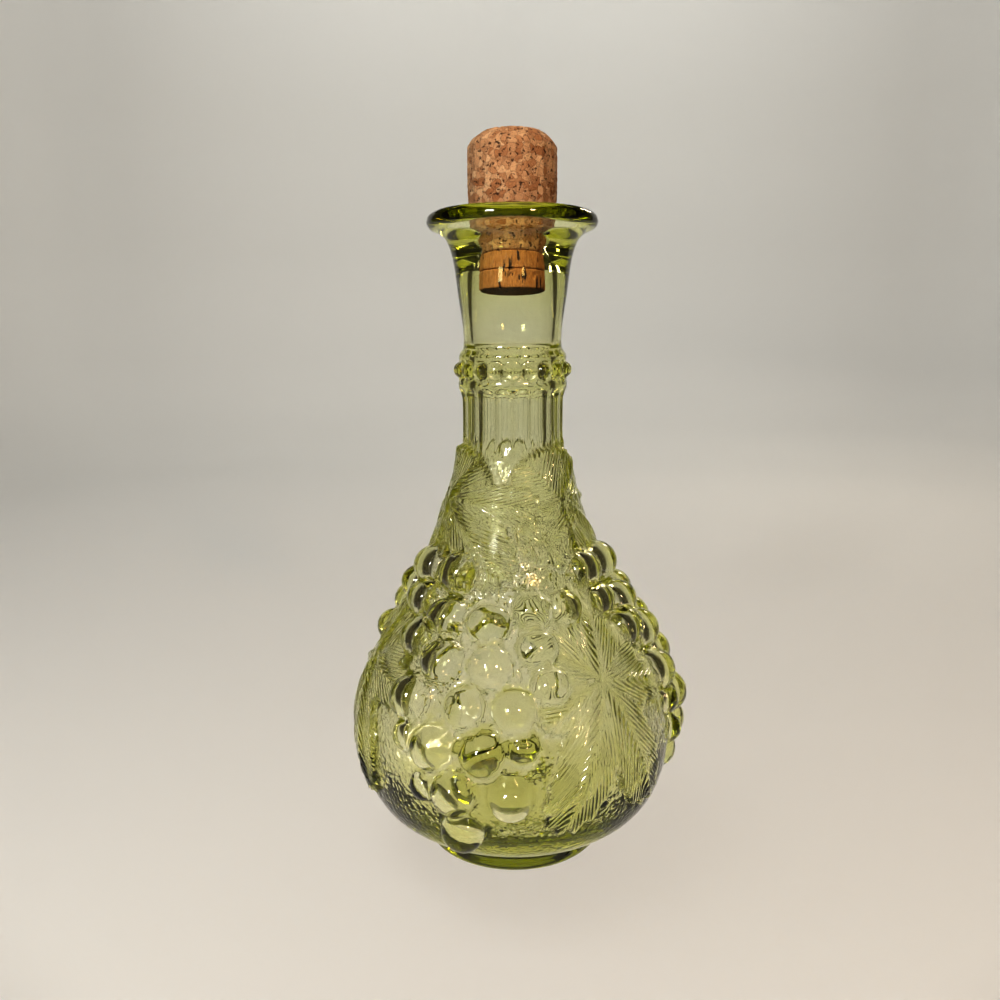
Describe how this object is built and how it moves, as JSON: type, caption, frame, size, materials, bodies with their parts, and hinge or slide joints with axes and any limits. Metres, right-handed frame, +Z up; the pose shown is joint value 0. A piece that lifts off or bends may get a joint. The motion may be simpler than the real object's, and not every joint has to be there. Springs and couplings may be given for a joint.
{
  "type": "glass decanter with cork stopper",
  "caption": "Hollow pressed-glass decanter, onion-shaped, with grape clusters and vine leaves in relief, a fluted neck, a beaded collar, a flared lip and a cork stopper in the mouth.",
  "frame": {"origin": "centre of the flat underside of the foot", "axes": "+Z up along the bottle's axis towards the mouth; -Y faces the front grape cluster, +X to its right"},
  "size_m": [0.1208, 0.1202, 0.2416],
  "materials": {
    "olive_glass": "clear olive-green pressed glass, fire-polished",
    "agglomerated_cork": "matt, made of pressed cork granules",
    "natural_cork": "matt natural cork with dark pores"
  },
  "bodies": {
    "root": {"decanter_glass": "olive_glass", "cork_body": "agglomerated_cork", "cork_disc_upper": "natural_cork", "cork_disc_lower": "natural_cork"}
  },
  "joints": []
}
